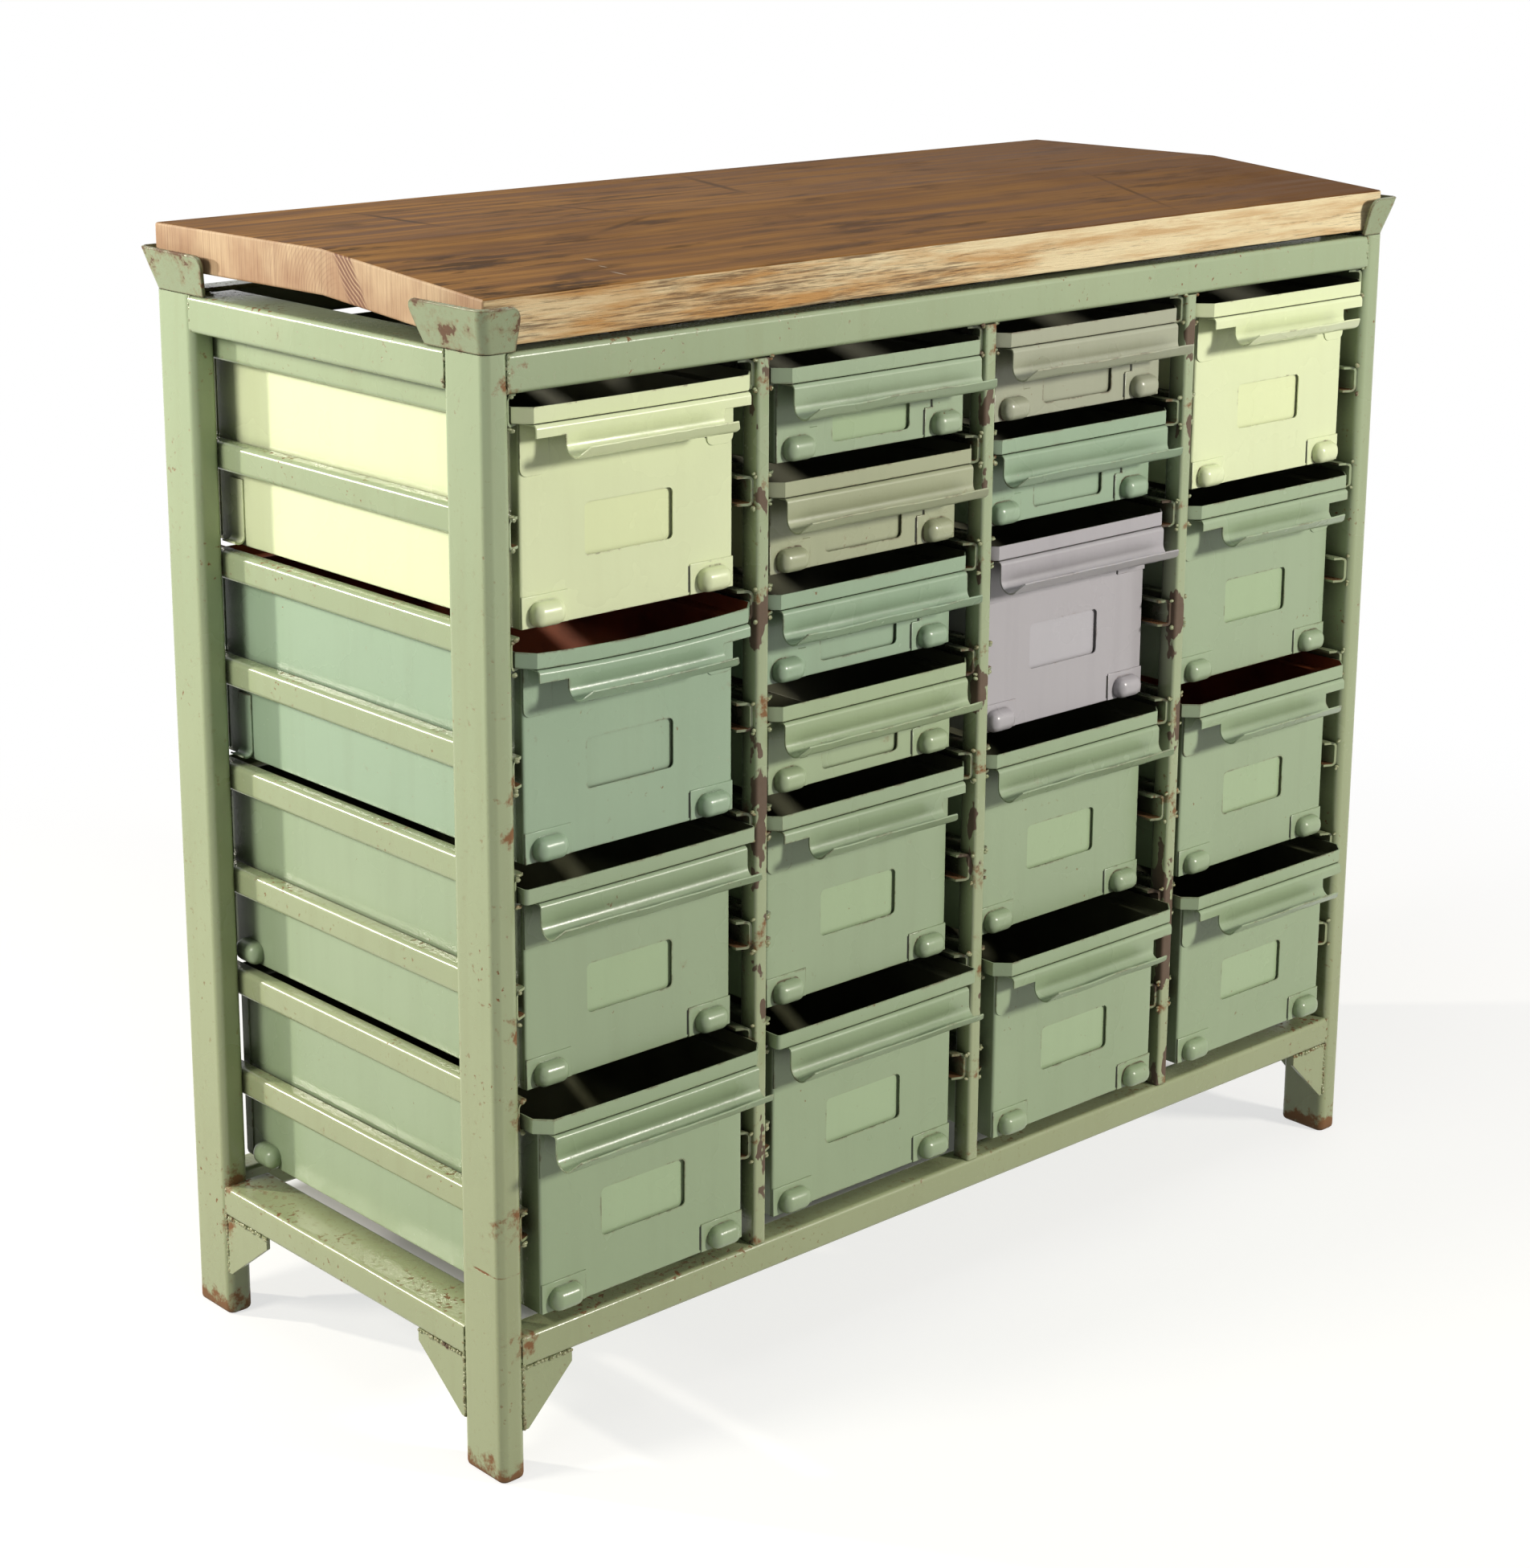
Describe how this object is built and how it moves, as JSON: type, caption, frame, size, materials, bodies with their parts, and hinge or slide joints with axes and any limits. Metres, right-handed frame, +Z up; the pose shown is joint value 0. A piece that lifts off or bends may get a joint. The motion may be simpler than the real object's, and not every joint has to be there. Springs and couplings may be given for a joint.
{
  "type": "workshop drawer cabinet",
  "caption": "Free-standing welded steel rack of open sheet-steel drawers that slide on channel runners, with a plank worktop held in flared corner cups.",
  "frame": {"origin": "on the floor, under the middle of the whole box", "axes": "+X to the right along the front, +Y from the front to the rear, +Z up"},
  "size_m": [1.1328, 0.528, 1.009],
  "materials": {
    "frame_paint": "aged satin enamel, chipped and rusted at the edges",
    "sage_paint": "aged satin enamel, lightly scuffed",
    "blue_sage_paint": "aged satin enamel, lightly scuffed",
    "yellow_sage_paint": "aged satin enamel, lightly scuffed",
    "olive_paint": "aged satin enamel, lightly scuffed",
    "khaki_paint": "aged satin enamel, lightly scuffed",
    "lime_paint": "aged satin enamel, lightly scuffed",
    "lilac_paint": "aged satin enamel, lightly scuffed",
    "plank_wood": "old softwood, brown waxed top, pale sawn edges"
  },
  "bodies": {
    "frame": {"divider_ladder_1": "frame_paint", "divider_ladder_2": "frame_paint", "divider_ladder_3": "frame_paint", "front_bottom_rail": "frame_paint", "front_left_cup": "frame_paint", "front_right_cup": "frame_paint", "front_top_rail": "frame_paint", "left_bottom_rail": "frame_paint", "left_side_ladder": "frame_paint", "left_top_rail": "frame_paint", "rear_bottom_rail": "frame_paint", "rear_left_cup": "frame_paint", "rear_right_cup": "frame_paint", "rear_top_rail": "frame_paint", "right_bottom_rail": "frame_paint", "right_side_ladder": "frame_paint", "right_top_rail": "frame_paint", "worktop_front_plank": "plank_wood", "worktop_rear_plank": "plank_wood"},
    "drawer_a1": {"drawer_a1_box": "lime_paint", "drawer_a1_pull": "lime_paint"},
    "drawer_a2": {"drawer_a2_box": "blue_sage_paint", "drawer_a2_pull": "blue_sage_paint"},
    "drawer_a3": {"drawer_a3_box": "sage_paint", "drawer_a3_pull": "sage_paint"},
    "drawer_a4": {"drawer_a4_box": "sage_paint", "drawer_a4_pull": "sage_paint"},
    "drawer_b1": {"drawer_b1_box": "sage_paint", "drawer_b1_pull": "sage_paint"},
    "drawer_b2": {"drawer_b2_box": "olive_paint", "drawer_b2_pull": "olive_paint"},
    "drawer_b3": {"drawer_b3_box": "blue_sage_paint", "drawer_b3_pull": "blue_sage_paint"},
    "drawer_b4": {"drawer_b4_box": "yellow_sage_paint", "drawer_b4_pull": "yellow_sage_paint"},
    "drawer_b5": {"drawer_b5_box": "sage_paint", "drawer_b5_pull": "sage_paint"},
    "drawer_b6": {"drawer_b6_box": "sage_paint", "drawer_b6_pull": "sage_paint"},
    "drawer_c1": {"drawer_c1_box": "khaki_paint", "drawer_c1_pull": "khaki_paint"},
    "drawer_c2": {"drawer_c2_box": "blue_sage_paint", "drawer_c2_pull": "blue_sage_paint"},
    "drawer_c3": {"drawer_c3_box": "lilac_paint", "drawer_c3_pull": "lilac_paint"},
    "drawer_c4": {"drawer_c4_box": "sage_paint", "drawer_c4_pull": "sage_paint"},
    "drawer_c5": {"drawer_c5_box": "sage_paint", "drawer_c5_pull": "sage_paint"},
    "drawer_d1": {"drawer_d1_box": "lime_paint", "drawer_d1_pull": "lime_paint"},
    "drawer_d2": {"drawer_d2_box": "sage_paint", "drawer_d2_pull": "sage_paint"},
    "drawer_d3": {"drawer_d3_box": "sage_paint", "drawer_d3_pull": "sage_paint"},
    "drawer_d4": {"drawer_d4_box": "sage_paint", "drawer_d4_pull": "sage_paint"}
  },
  "joints": [
    {"name": "drawer_a1_slide", "type": "slide", "parent": "frame", "child": "drawer_a1", "axis": [0, -1, 0], "range_m": [-0.0175, 0.3225]},
    {"name": "drawer_a2_slide", "type": "slide", "parent": "frame", "child": "drawer_a2", "axis": [0, -1, 0], "range_m": [-0.0176, 0.3224]},
    {"name": "drawer_a3_slide", "type": "slide", "parent": "frame", "child": "drawer_a3", "axis": [0, -1, 0], "range_m": [-0.015, 0.325]},
    {"name": "drawer_a4_slide", "type": "slide", "parent": "frame", "child": "drawer_a4", "axis": [0, -1, 0], "range_m": [-0.0312, 0.3088]},
    {"name": "drawer_b1_slide", "type": "slide", "parent": "frame", "child": "drawer_b1", "axis": [0, -1, 0], "range_m": [-0.0182, 0.3218]},
    {"name": "drawer_b2_slide", "type": "slide", "parent": "frame", "child": "drawer_b2", "axis": [0, -1, 0], "range_m": [-0.0107, 0.3293]},
    {"name": "drawer_b3_slide", "type": "slide", "parent": "frame", "child": "drawer_b3", "axis": [0, -1, 0], "range_m": [-0.0065, 0.3335]},
    {"name": "drawer_b4_slide", "type": "slide", "parent": "frame", "child": "drawer_b4", "axis": [0, -1, 0], "range_m": [-0.0098, 0.3302]},
    {"name": "drawer_b5_slide", "type": "slide", "parent": "frame", "child": "drawer_b5", "axis": [0, -1, 0], "range_m": [-0.0099, 0.3301]},
    {"name": "drawer_b6_slide", "type": "slide", "parent": "frame", "child": "drawer_b6", "axis": [0, -1, 0], "range_m": [-0.02, 0.32]},
    {"name": "drawer_c1_slide", "type": "slide", "parent": "frame", "child": "drawer_c1", "axis": [0, -1, 0], "range_m": [-0.0112, 0.3288]},
    {"name": "drawer_c2_slide", "type": "slide", "parent": "frame", "child": "drawer_c2", "axis": [0, -1, 0], "range_m": [-0.0032, 0.3368]},
    {"name": "drawer_c3_slide", "type": "slide", "parent": "frame", "child": "drawer_c3", "axis": [0, -1, 0], "range_m": [-0.0028, 0.3372]},
    {"name": "drawer_c4_slide", "type": "slide", "parent": "frame", "child": "drawer_c4", "axis": [0, -1, 0], "range_m": [-0.0065, 0.3335]},
    {"name": "drawer_c5_slide", "type": "slide", "parent": "frame", "child": "drawer_c5", "axis": [0, -1, 0], "range_m": [-0.0317, 0.3083]},
    {"name": "drawer_d1_slide", "type": "slide", "parent": "frame", "child": "drawer_d1", "axis": [0, -1, 0], "range_m": [-0.0172, 0.3228]},
    {"name": "drawer_d2_slide", "type": "slide", "parent": "frame", "child": "drawer_d2", "axis": [0, -1, 0], "range_m": [-0.0118, 0.3282]},
    {"name": "drawer_d3_slide", "type": "slide", "parent": "frame", "child": "drawer_d3", "axis": [0, -1, 0], "range_m": [-0.0199, 0.3201]},
    {"name": "drawer_d4_slide", "type": "slide", "parent": "frame", "child": "drawer_d4", "axis": [0, -1, 0], "range_m": [-0.028, 0.312]}
  ]
}
